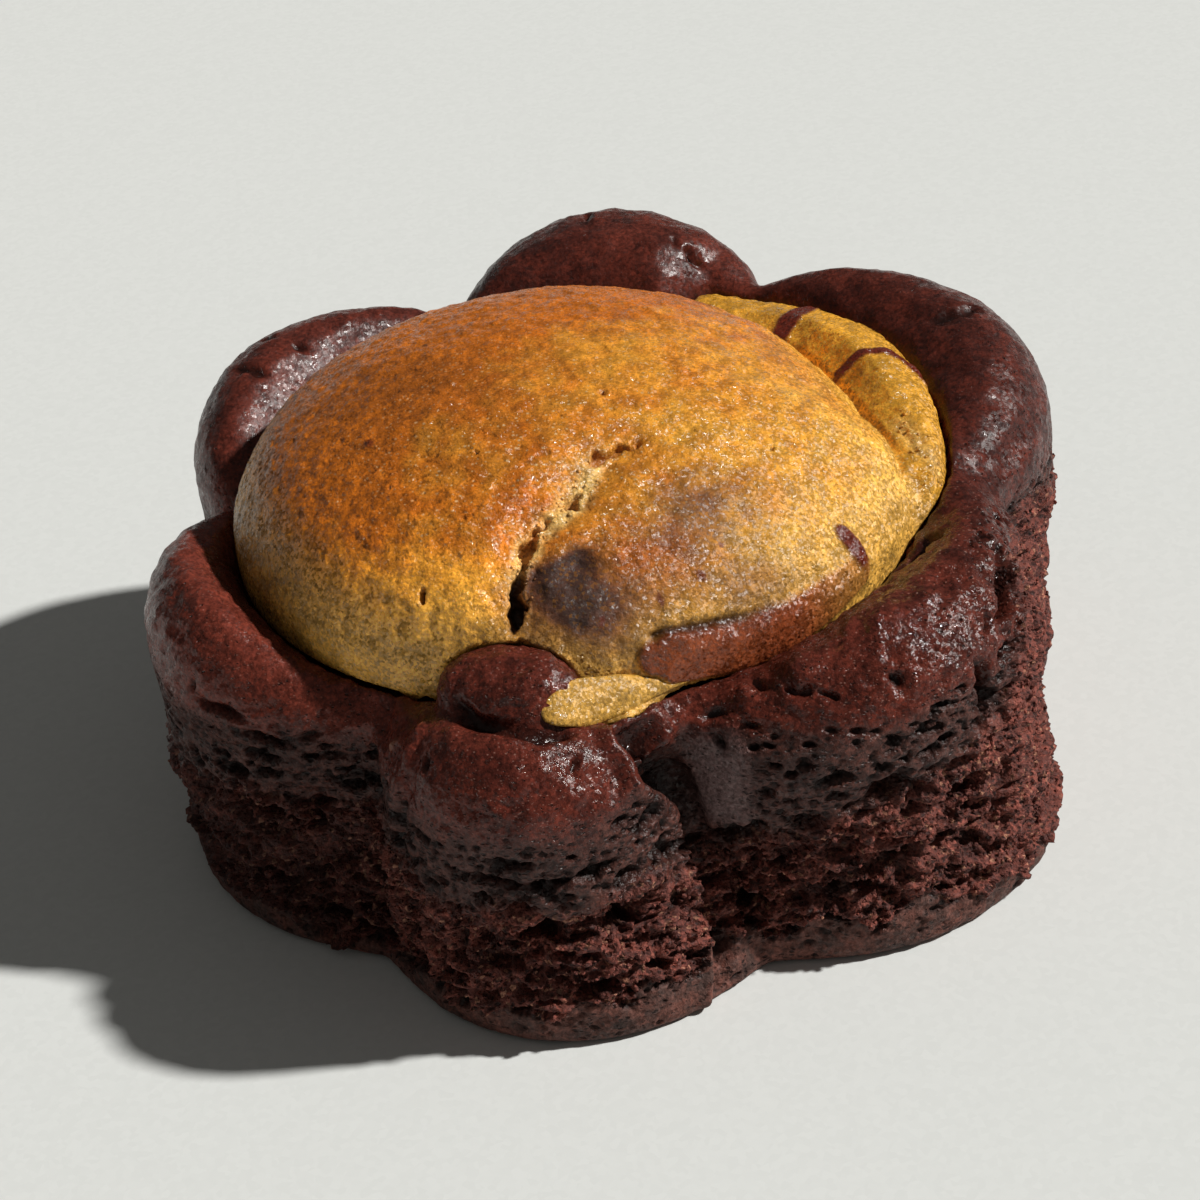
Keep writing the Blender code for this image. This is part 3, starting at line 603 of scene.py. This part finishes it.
def crumb_scatter():
    """A tree that strews uneven crumbs over a surface, more where its crumbs number is high."""
    tree = bpy.data.node_groups.new("strewn_crumbs", "GeometryNodeTree")
    sockets = {"Surface": "Geometry", "Per Square Metre": "Float", "Least": "Float", "Most": "Float",
               "Unevenness": "Float", "Seed": "Int", "Finish": "Material"}
    for name, kind in sockets.items():
        tree.interface.new_socket(name, in_out="INPUT", socket_type="NodeSocket" + kind)
    tree.interface.new_socket("Crumbs", in_out="OUTPUT", socket_type="NodeSocketGeometry")
    given, result = tree.nodes.new("NodeGroupInput").outputs, tree.nodes.new("NodeGroupOutput").inputs
    here = put(tree, "GeometryNodeInputNamedAttribute", {"Name": "crumbs"}, data_type="FLOAT")
    density = sums(tree, "MULTIPLY", here.outputs["Attribute"], given["Per Square Metre"])
    spots = put(tree, "GeometryNodeDistributePointsOnFaces",
                {"Mesh": given["Surface"], "Density": density, "Seed": given["Seed"]}).outputs["Points"]
    size = put(tree, "FunctionNodeRandomValue",
               {2: given["Least"], 3: given["Most"], "Seed": given["Seed"]}).outputs[1]
    squash = put(tree, "FunctionNodeRandomValue", {0: (0.6, 0.6, 0.6), 1: (1.3, 1.3, 1.3), "Seed": 5},
                 data_type="FLOAT_VECTOR").outputs[0]
    turned = put(tree, "FunctionNodeRandomValue", {0: (0.0, 0.0, 0.0), 1: (6.283, 6.283, 6.283), "Seed": 9},
                 data_type="FLOAT_VECTOR").outputs[0]
    sized = scaled(tree, squash, size)
    seed_shape = put(tree, "GeometryNodeMeshIcoSphere", {"Radius": 1.0, "Subdivisions": 1}).outputs["Mesh"]
    inputs = {"Points": spots, "Instance": seed_shape, "Rotation": turned, "Scale": sized}
    crumbs = put(tree, "GeometryNodeInstanceOnPoints", inputs).outputs["Instances"]
    solid = put(tree, "GeometryNodeRealizeInstances", {"Geometry": crumbs}).outputs["Geometry"]
    place = put(tree, "GeometryNodeInputPosition").outputs["Position"]
    rough = put(tree, "ShaderNodeTexNoise", {"Vector": place, "Scale": 3.0 / MM}).outputs["Color"]
    shift = scaled(tree, vectors(tree, "SUBTRACT", rough, (0.5, 0.5, 0.5)), given["Unevenness"])
    uneven = put(tree, "GeometryNodeSetPosition", {"Geometry": solid, "Offset": shift}).outputs["Geometry"]
    finished = put(tree, "GeometryNodeSetMaterial", {"Geometry": uneven, "Material": given["Finish"]})
    tree.links.new(finished.outputs["Geometry"], result["Crumbs"])
    return tree


def strewn(host, name, finish, per_square_mm, least, most, seed):
    """Crumbs strewn over a piece, as one plain mesh."""
    piece = placed(name, host.data.copy())
    scatter = piece.modifiers.new("scatter", "NODES")
    scatter.node_group = crumb_tree
    values = {"Per Square Metre": per_square_mm / MM ** 2, "Least": least * MM, "Most": most * MM,
              "Unevenness": CRUMB_UNEVENNESS * MM, "Seed": seed, "Finish": finish}
    for entry in crumb_tree.interface.items_tree:
        if entry.name in values:
            scatter[entry.identifier] = values[entry.name]
    return plain(piece)


crumb_tree = crumb_scatter()
crumbs = strewn(brownie, "wall_crumbs", wall_finish, CRUMBS_PER_SQUARE_MM, CRUMB_LEAST, CRUMB_MOST, 4)
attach(crumbs, "root")

# The cookie: a round of pale dough that rose into a dome as it baked.  Its crust is
# golden with a fine sandy grain and browner at the top.  A crack opened across it, and
# chocolate from the dough shows through in stains, a band and two stripes.

COOKIE_SPACING = 0.18
COOKIE_EASING = 10
COOKIE_SHOWS_ABOVE = 18.5
JOINT_FILL = 0.28                     # how far the cookie's edge swells to meet the brownie
DOME_MIDDLE, DOME_HALF = (-2.1, -2.0), (24.6, 22.7)

# Over the low ledge, by angle: how far the dome's edge is set in, as a share, and how much the
# ledge is puffed up.  It meets the dome at this share of the way to the dome's edge.
DOME_SET_IN = (
    (-35.0, 0.0), (-15.0, 0.0), (5.0, 0.104), (25.0, 0.115), (45.0, 0.072), (65.0, 0.025), (90.0, 0.0),
)
LEDGE_PUFF = ((-22.0, 0.5), (0.0, 1.2), (12.0, 1.7), (28.0, 1.7), (42.0, 0.8), (52.0, 0.2), (70.0, 0.0))
LEDGE_MEETS = 0.950
LEDGE_CRUMB = ((21.2, -2.6), (22.0, -5.0), (23.0, -6.8))  # a crumbly line along the ledge's foot

# The crack, from its upper right end: place in plan, half width and depth.
CRACK = (
    (6.8, -10.0, 0.05, 0.2), (4.4, -10.4, 0.07, 0.3), (2.6, -10.9, 0.12, 0.5), (1.7, -11.3, 0.26, 0.6),
    (0.6, -11.6, 0.34, 0.8), (-0.4, -12.1, 0.40, 0.9), (-1.0, -12.8, 0.10, 0.4), (-1.7, -14.2, 0.00, 0.1),
    (-2.4, -15.6, 0.24, 0.8), (-3.3, -16.2, 0.02, 0.2), (-4.7, -17.1, 0.14, 0.7), (-5.4, -17.8, 0.34, 1.1),
    (-5.7, -18.6, 0.30, 1.1), (-6.2, -19.6, 0.10, 0.8), (-6.6, -20.7, 0.34, 1.5), (-6.6, -21.5, 0.62, 2.3),
    (-6.9, -22.2, 0.50, 2.0), (-7.2, -22.7, 0.10, 0.4),
)
STRIPES = (  # chocolate that shows: its line in plan, half width, how strong, how proud
    (((18.8, 18.2), (16.5, 14.8), (14.3, 11.8)), 0.95, 1.0, 0.12),
    (((17.7, 5.0), (19.6, 5.7), (21.4, 5.8), (22.9, 4.9), (24.2, 3.4), (24.8, 2.2)), 0.52, 1.0, 0.12),
    (((15.4, -15.7), (15.9, -15.9), (16.5, -16.1)), 0.62, 1.0, 0.15),
)
BAND_HALF = ((0.0, 1.3), (0.5, 2.0), (4.0, 2.0), (7.0, 1.2))  # its half width, by steps along the band
BAND = (
    (1.9, -24.0, 24.0), (3.5, -23.7, 23.8), (5.7, -23.1, 23.5), (8.2, -22.2, 23.2), (10.8, -20.9, 23.1),
    (12.8, -19.5, 23.4), (14.5, -18.2, 23.6), (15.9, -16.8, 23.9),
)
BAND_CREASE = (
    (1.9, -23.5, 25.3), (2.7, -23.3, 25.5), (5.0, -22.9, 25.3), (7.7, -22.0, 25.0), (9.4, -21.3, 24.8),
    (11.1, -20.4, 24.8), (13.0, -19.1, 24.8),
)
STAINS = (  # soft brown stains: middle, half sizes, lean, how strong
    ((5.7, -16.6), (2.9, 2.6), -10.0, 0.66), ((8.4, -15.8), (3.6, 2.0), 10.0, 0.32),
    ((2.6, -18.2), (2.8, 1.3), 0.0, 0.40), ((-2.3, -20.2), (1.7, 1.2), 25.0, 0.9),
    ((-3.2, -22.3), (4.2, 1.6), 0.0, 1.0), ((-4.6, -20.8), (2.0, 1.6), 0.0, 0.9),
    ((-1.6, -21.2), (2.2, 1.5), 0.0, 0.60), ((8.8, -20.4), (3.6, 1.2), 25.0, 0.50),
    ((3.9, -20.8), (4.8, 2.0), 0.0, 0.30), ((0.0, -22.2), (2.6, 1.1), 10.0, 0.40),
    ((-2.8, -20.6), (1.2, 1.0), 0.0, 0.90),
)
CRACK_BASIN = ((-2.4, -20.3), (1.4, 1.0), 25.0)  # a shallow dip in the dark stain
CHIPS = (  # specks of chocolate: middle, half size
    ((5.4, -20.8), 0.40), ((-1.3, -23.0), 0.25), ((2.6, -22.1), 0.25),
    ((-15.7, -7.6), 0.35), ((7.0, -18.9), 0.22),
)
PRICKS = (  # small holes in the crust: middle, half size, depth
    ((-12.8, -19.8), 0.26, 0.7), ((0.4, -6.2), 0.24, 0.5), ((11.4, -10.8), 0.14, 0.5),
    ((-8.3, -11.2), 0.14, 0.3), ((-9.6, -16.2), 0.12, 0.3), ((-14.4, -12.1), 0.12, 0.3),
)

# The crust's unevenness: the lumps' size, the seed and their height.
CRUST_LUMPS = ((3.0, 15, 0.11), (1.1, 16, 0.09), (0.55, 14, 0.05))

# Where the crust is browner or less brown, and where it is lighter or darker, which is mostly
# painted light and shade over the dome, above all on its shaded left: the patch's middle, its
# half sizes and how much.
BROWNER = (
    ((3.5, -20.5), (5.5, 2.6), 0.60), ((1.0, -2.0), (9.0, 8.0), -0.16), ((-10.0, -20.5), (5.0, 2.6), -0.25),
)
LIGHT_AND_SHADE_PATCHES = (
    ((-11.5, -3.0), (6.5, 5.0), -0.30), ((-13.0, -18.8), (8.0, 3.2), 0.50),
    ((17.6, 9.0), (1.6, 5.0), 0.40), ((-9.5, -20.8), (4.5, 2.3), 0.45),
    ((-18.2, -16.5), (4.0, 3.2), 0.35), ((-19.5, -9.0), (4.0, 5.0), 0.20),
    ((1.0, -2.0), (9.0, 8.0), 0.12),
)
PAINTED_GLINT_PATCH = ((-2.0, -13.0), (13.0, 9.0))  # the patch of crust with the most painted glints
SHADED_EDGE = (212.0, 24.0)           # painted shade on the dome's edge on the left: its angle and half width


def patch_at(points, middle, half_sizes, lean=0.0):
    """1 at the middle of a soft oval patch in plan, falling to 0 outside it."""
    c, s = math.cos(math.radians(lean)), math.sin(math.radians(lean))
    x, y = points[:, 0] - middle[0], points[:, 1] - middle[1]
    return np.exp(-((c * x + s * y) / half_sizes[0]) ** 2 - ((c * y - s * x) / half_sizes[1]) ** 2)


cookie = even_copy("cookie", "cookie_dome", COOKIE_SPACING, COOKIE_EASING)
places, normals = points_of(cookie)
seen_top = (normals[:, 2] > -0.2) & (places[:, 2] > COOKIE_SHOWS_ABOVE)
upper = ease(0.0, 0.25, normals[:, 2])
wobble = np.stack([noise_at(places, 0.8, seed) for seed in (11, 12, 13)], 1)
soft_wobble = np.stack([noise_at(places, 2.6, seed) for seed in (21, 22, 25)], 1)
plan = places[:, :2]
around = np.degrees(np.arctan2(plan[:, 1], plan[:, 0]))
dome_x, dome_y = ((plan - DOME_MIDDLE) / DOME_HALF).T
measure = np.hypot(dome_x, dome_y) / (1.0 - along(DOME_SET_IN, np.degrees(np.arctan2(dome_y, dome_x))))
relief = JOINT_FILL * (1.0 - upper) * ease(17.0, 19.0, places[:, 2])
relief += upper * sum(lump * noise_at(places, size, seed) for size, seed, lump in CRUST_LUMPS)

away, side, steps = from_line(plan + 0.38 * wobble[:, :2], [c[:2] for c in CRACK])
numbers = np.arange(len(CRACK))
half_width = np.interp(steps, numbers, [c[2] for c in CRACK])
crack_depth = np.interp(steps, numbers, [c[3] for c in CRACK])
deepening = ease(11.0, 14.0, steps)
share_here = 0.55 + 0.45 * deepening
crack = (1.0 - ease(0.6 * half_width, half_width + 0.10, away)) * upper
crack = crack * ease(0.03, 0.2, half_width) * share_here
tear = crack * (1.0 - deepening)
crumbly = (1.0 - ease(0.2, 1.5, away + 0.3 * (side < 0))) * upper
crumbly = crumbly * ease(4.0, 6.0, steps) * (1.0 - ease(15.0, 16.5, steps))
crumbly = np.clip(0.8 * crumbly * (1.0 + 0.9 * soft_wobble[:, 2]), 0.0, 1.0)
grit, grit_draw = cells_at(places, 0.6, 17)
basin = patch_at(plan + 0.6 * soft_wobble[:, :2], *CRACK_BASIN)
raised_lip = 0.15 * (side > 0) * (1.0 - ease(0.2, 0.9, away))
relief += upper * (0.09 * (1.0 - grit ** 2) * grit_draw - 0.55 * basin)
relief += crumbly * (0.26 * (1.0 - grit ** 2) * grit_draw - 0.10 + raised_lip)
relief -= crack * crack_depth / share_here

in_reach = ease(-24.0, -18.0, around) * (1.0 - ease(66.0, 74.0, around))
on_ledge = ease(LEDGE_MEETS, LEDGE_MEETS + 0.02, measure + 0.004 * soft_wobble[:, 0]) * in_reach
groove = np.exp(-((measure - LEDGE_MEETS - 0.003) / 0.012) ** 2) * in_reach
relief -= 0.45 * groove * upper
puffed = on_ledge * ease(LEDGE_MEETS - 0.01, LEDGE_MEETS + 0.13, measure) * upper * along(LEDGE_PUFF, around)
ledge_crumb = near_line(plan, LEDGE_CRUMB, 0.7) * upper
crumbly = np.maximum(crumbly, 0.5 * ledge_crumb)
relief += ledge_crumb * (0.3 * (1.0 - grit ** 2) * grit_draw - 0.25)

chocolate_here = np.zeros(len(places))
for line, half, strength, proud in STRIPES:
    away = from_line(plan + 0.16 * soft_wobble[:, :2] + 0.08 * wobble[:, :2], line)[0]
    shape = strength * (1.0 - ease(0.75 * half, 1.1 * half, away)) * upper
    chocolate_here = np.maximum(chocolate_here, shape)
    relief += proud * shape
away, _, steps = from_line(places + 0.2 * soft_wobble, BAND)
half = along(BAND_HALF, steps)
band = (1.0 - ease(0.75 * half, 1.1 * half, away)) * (1.0 - 0.4 * ease(4.0, 7.0, steps))
relief += 0.30 * band
away, _, steps = from_line(places + 0.12 * soft_wobble, BAND_CREASE)
crease = np.exp(-(away / 0.32) ** 2) * (1.0 - ease(2.5, 5.0, steps))
relief -= 0.5 * crease
for middle, size in CHIPS:
    spot = patch_at(plan + 0.25 * wobble[:, :2], middle, (size, size))
    chocolate_here = np.maximum(chocolate_here, ease(0.3, 0.6, spot) * upper * 0.8)
stain = np.zeros(len(places))
spread = plan + 0.9 * soft_wobble[:, :2] + 0.3 * wobble[:, :2]
for middle, half_sizes, lean, strength in STAINS:
    stain = 1.0 - (1.0 - stain) * (1.0 - strength * patch_at(spread, middle, half_sizes, lean))
prick = np.zeros(len(places))
for middle, size, prick_depth in PRICKS:
    spot = ease(0.35, 0.7, patch_at(plan + 0.2 * wobble[:, :2], middle, (size, 1.9 * size)))
    relief -= prick_depth * spot * upper
    prick = np.maximum(prick, spot)

browned = 0.92 - 0.034 * (0.78 * plan[:, 0] - 0.58 * plan[:, 1])  # more towards the upper left
browned += 0.26 * noise_at(places, 6.0, 18) + 0.24 * noise_at(places, 1.4, 19)
browned += sum(change * patch_at(plan, middle, half_sizes) for middle, half_sizes, change in BROWNER)
browned = np.clip(browned, 0.0, 1.1) * (1.0 - 0.50 * ease(0.76, 1.0, measure))
beige = ease(0.86, 1.02, measure) * (1.0 - on_ledge)
# Painted light and shade on the crust: lighter on its shaded lower left, with painted shade at its left edge.
tone = 1.0 + sum(change * patch_at(plan, middle, half_sizes) for middle, half_sizes, change in LIGHT_AND_SHADE_PATCHES)
tone -= 0.40 * facing(SHADED_EDGE, around, 2) * ease(0.84, 0.97, measure)
sparkle = 0.25 + 0.55 * patch_at(plan, *PAINTED_GLINT_PATCH)
# Painted shade in the crack's deep part, in the pricks and in the band's crease.
keep(cookie, tone=tone, crack=np.maximum.reduce((crack * deepening, 0.8 * prick, 0.9 * crease)), tear=tear,
     crumbly=crumbly, browned=browned, beige=beige, sparkle=sparkle, ledge=on_ledge,
     chocolate=chocolate_here, band=band, stain=stain, crumbs=crumbly * (1.0 - crack))
places += normals * relief[:, None]
places[:, 2] += puffed
set_points(cookie, places)
thin_out(cookie, ~seen_top)
cookie.data.shade_smooth()

CRUST_PALE, CRUST_GOLD = (0.82, 0.440, 0.058, 1.0), (0.70, 0.290, 0.026, 1.0)
CRUST_BROWN, EDGE_BEIGE = (0.54, 0.138, 0.006, 1.0), (0.66, 0.350, 0.065, 1.0)
LEDGE_OLIVE, CRUMB_PALE = (0.66, 0.310, 0.026, 1.0), (0.82, 0.500, 0.150, 1.0)
STAIN_BROWN, STAIN_DARK = (0.140, 0.038, 0.011, 1.0), (0.034, 0.0085, 0.003, 1.0)
CHOCOLATE_THIN, BAND_BROWN = (0.130, 0.014, 0.004, 1.0), (0.230, 0.043, 0.015, 1.0)
CRACK_PAINTED_SHADE, TEAR_BROWN = (0.03, 0.008, 0.003, 1.0), (0.22, 0.048, 0.008, 1.0)
# The pale of the crust's painted glints.
CRUST_PAINTED_GLINT = (1.0, 0.80, 0.45, 1.0)
CRUST_GLOSS = 0.6                     # specular level

golden, tree, shader, where = material("cookie_crust")
fine = used(tree, grain, where, Size=0.20, Patch=4.0)
coarse = used(tree, grain, where, Size=0.42, Patch=1.5)
browned, stained, banded = stored(tree, "browned"), stored(tree, "stain"), stored(tree, "band")
colour = tint(tree, ramp(tree, browned, 0.0, 0.5), CRUST_PALE, CRUST_GOLD)
colour = tint(tree, ramp(tree, browned, 0.5, 1.0), colour, CRUST_BROWN)
colour = tint(tree, stored(tree, "beige"), colour, EDGE_BEIGE)
colour = tint(tree, stored(tree, "ledge"), colour, LEDGE_OLIVE)
colour = tint(tree, stored(tree, "crumbly"), colour, CRUMB_PALE)
mixed = weighed(tree, (fine["Speckle"], 0.5), (coarse["Speckle"], 0.2), (coarse["Patches"], 0.3))
mixed = sums(tree, "ADD", mixed, ramp(tree, fine["Height"], 0.35, 0.65, -0.15, 0.15))
colour = tint(tree, ramp(tree, stained, 0.0, 0.85, 0.0, 0.97), colour, STAIN_BROWN)
colour = tint(tree, ramp(tree, stained, 0.72, 0.95, 0.0, 0.9), colour, STAIN_DARK)
grit_share = ramp(tree, stained, 0.2, 0.7, 0.0, 0.12)
grit_share = sums(tree, "MULTIPLY", ramp(tree, fine["Speckle"], 0.80, 0.90), grit_share)
colour = tint(tree, grit_share, colour, CRUST_GOLD)
colour = tint(tree, sums(tree, "MULTIPLY", banded, 0.95), colour, BAND_BROWN)
brightness = sums(tree, "MULTIPLY", ramp(tree, mixed, 0.3, 0.85, 0.64, 1.60), stored(tree, "tone"))
colour = scaled(tree, colour, brightness)
# Painted glints: pale flecks over the crust, most in their patch and fewer on its chocolate.
painted_glints = used(tree, pinned, where, Size=0.34, Openness=0.45)["Pore_and_glint"]
painted_glints = sums(tree, "MULTIPLY", painted_glints, stored(tree, "sparkle"))
off_chocolate = ramp(tree, sums(tree, "MAXIMUM", banded, stained), 0.0, 0.9, 0.6, 0.1)
painted_glints = sums(tree, "MULTIPLY", painted_glints, off_chocolate)
colour = tint(tree, painted_glints, colour, CRUST_PAINTED_GLINT)
colour = tint(tree, stored(tree, "chocolate"), colour, CHOCOLATE_THIN)
colour = tint(tree, stored(tree, "tear"), colour, TEAR_BROWN)
# Painted shade in the crack, the pricks and the crease.
colour = tint(tree, stored(tree, "crack"), colour, CRACK_PAINTED_SHADE)

rough = ramp(tree, fine["Speckle"], 0.0, 0.5, 0.10, 0.40)
rough = sums(tree, "ADD", rough, sums(tree, "MULTIPLY", stained, 0.35))
rough = sums(tree, "MULTIPLY", rough, between(tree, banded, 1.0, 0.55))
rise = weighed(tree, (fine["Height"], 0.06), (fine["Facets"], 0.15), (coarse["Height"], 0.09))
rise = sums(tree, "MULTIPLY", rise, ramp(tree, stained, 0.3, 0.9, 1.0, 0.55))
finish_with(tree, shader, colour, rough, rise, CRUST_GLOSS)

cookie.data.materials.clear()
cookie.data.materials.append(golden)
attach(cookie, "root")
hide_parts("cookie")

# The spilled edge: a tongue of the same pale dough that ran out under the blob of batter
# and set on the rim's inner slope, thick at its left and drawn to a point at its right.

TONGUE = (  # middle of the tongue, then half its width and half its thickness
    ((-5.9, -28.1, 23.5), 0.50, 0.15), ((-5.1, -27.9, 23.5), 1.00, 0.30), ((-4.2, -27.4, 23.5), 1.45, 0.38),
    ((-3.3, -26.9, 23.2), 1.70, 0.42), ((-2.4, -26.3, 22.9), 1.65, 0.45), ((-1.6, -25.9, 22.7), 1.50, 0.45),
    ((-0.7, -25.6, 22.5), 1.45, 0.45), ((0.2, -25.2, 22.4), 1.20, 0.45), ((1.3, -24.7, 22.2), 0.85, 0.40),
    ((2.6, -24.3, 22.1), 0.48, 0.32), ((4.2, -23.8, 21.8), 0.12, 0.15),
)
TONGUE_SIDES = 12
TONGUE_LEAN = Vector((0.0, -0.80, 0.60))  # the way that its face looks


def tongue_of(name, stations, lean):
    """A closed, flattened tongue drawn along its stations."""
    worked = bmesh.new()
    rings = []
    for place, (middle, half, thick) in enumerate(stations):
        before = stations[max(place - 1, 0)][0]
        after = stations[min(place + 1, len(stations) - 1)][0]
        run = (Vector(after) - Vector(before)).normalized()
        across = run.cross(lean).normalized()
        out = across.cross(run)
        ring = []
        for step in range(TONGUE_SIDES):
            a = step / TONGUE_SIDES * math.tau
            spot = Vector(middle) + half * math.cos(a) * across + thick * math.sin(a) * out + Vector(AXIS)
            ring.append(worked.verts.new(spot * MM))
        rings.append(ring)
    for first, second in zip(rings, rings[1:]):
        for step in range(TONGUE_SIDES):
            worked.faces.new((first[step], first[step - 1], second[step - 1], second[step]))
    worked.faces.new(rings[0])
    worked.faces.new(reversed(rings[-1]))
    bmesh.ops.recalc_face_normals(worked, faces=worked.faces[:])
    mesh = bpy.data.meshes.new(name)
    worked.to_mesh(mesh)
    worked.free()
    piece = placed(name, mesh)
    rounded = piece.modifiers.new("rounded", "SUBSURF")
    rounded.levels = rounded.render_levels = 3
    return plain(piece)


tongue = tongue_of("cookie_tongue", TONGUE, TONGUE_LEAN)
places, normals = points_of(tongue)
relief = 0.10 * noise_at(places, 1.3, 31) + 0.04 * noise_at(places, 0.6, 32)
set_points(tongue, places + normals * relief[:, None])
keep(tongue, tone=np.full(len(places), 0.80), beige=np.full(len(places), 0.70))
tongue.data.shade_smooth()
tongue.data.materials.append(golden)
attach(tongue, "root")

# Crumbs along the crack: small pale grains of the cookie's inside.  They broke off as the
# crust tore open, and cling to its broken edge.

GRAINS_PER_SQUARE_MM = 4.0
GRAIN_LEAST, GRAIN_MOST = 0.07, 0.16  # half a grain's length

crack_crumbs = strewn(cookie, "crack_crumbs", golden, GRAINS_PER_SQUARE_MM, GRAIN_LEAST, GRAIN_MOST, 8)
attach(crack_crumbs, "root")

# The table: one plain, pale, matt sheet that the cake stands on.  A clear key light comes
# from the right, and the light of a white room fills the shade.

TABLE_COLOUR, TABLE_SPECK = (0.785, 0.80, 0.785, 1.0), (0.755, 0.77, 0.755, 1.0)
TABLE_HALF = 1.5                      # metres
KEY_FROM = Vector((0.752, -0.016, 0.659))
KEY_STRENGTH, ROOM_STRENGTH = 4.05, 0.095

mesh = bpy.data.meshes.new("table")
corners = [(x * TABLE_HALF, y * TABLE_HALF, 0.0) for x, y in ((-1, -1), (1, -1), (1, 1), (-1, 1))]
mesh.from_pydata(corners, [], [(0, 1, 2, 3)])
table = placed("table", mesh)
paper, tree, shader, where = material("table_paper")
paper_grain = used(tree, grain, where, Size=0.5, Patch=30.0)
tree.links.new(tint(tree, paper_grain["Speckle"], TABLE_COLOUR, TABLE_SPECK), shader.inputs["Base Color"])
shader.inputs["Roughness"].default_value = 0.7
shader.inputs["Specular IOR Level"].default_value = 0.2
mesh.materials.append(paper)

key = bpy.data.lights.new("key", "SUN")
key.energy = KEY_STRENGTH
key.angle = math.radians(3.0)
key.color = (1.0, 0.985, 0.95)
placed("key", key).rotation_euler = KEY_FROM.to_track_quat("Z", "Y").to_euler()

sky = bpy.data.worlds.new("soft_room_light")
sky.use_nodes = True
background = sky.node_tree.nodes["Background"]
background.inputs["Color"].default_value = (1.0, 0.99, 0.94, 1.0)
background.inputs["Strength"].default_value = ROOM_STRENGTH
bpy.context.scene.world = sky
bpy.context.scene.view_settings.view_transform = "Standard"

# The camera: a lens of 90 mm that stands where the photograph was taken from, 35 degrees
# above the table, and leans a little to one side.

ELEVATION = math.radians(35.12)
ROLL = math.radians(-6.494)
DISTANCE = 220.07
AIM = Vector((-1.458, -1.668, 13.0))
back = Vector((0.0, -math.cos(ELEVATION), math.sin(ELEVATION)))
level = Vector((1.0, 0.0, 0.0))
upright = back.cross(level)
right = math.cos(ROLL) * level + math.sin(ROLL) * upright
upward = back.cross(right)
lens = bpy.data.cameras.new("camera")
lens.sensor_width, lens.lens, lens.clip_start = 36.0, 90.0, 0.01
camera = placed("camera", lens)
turned = Matrix((right, upward, back)).transposed().to_4x4()
camera.matrix_world = Matrix.Translation((AIM + DISTANCE * back) * MM) @ turned
bpy.context.scene.camera = camera
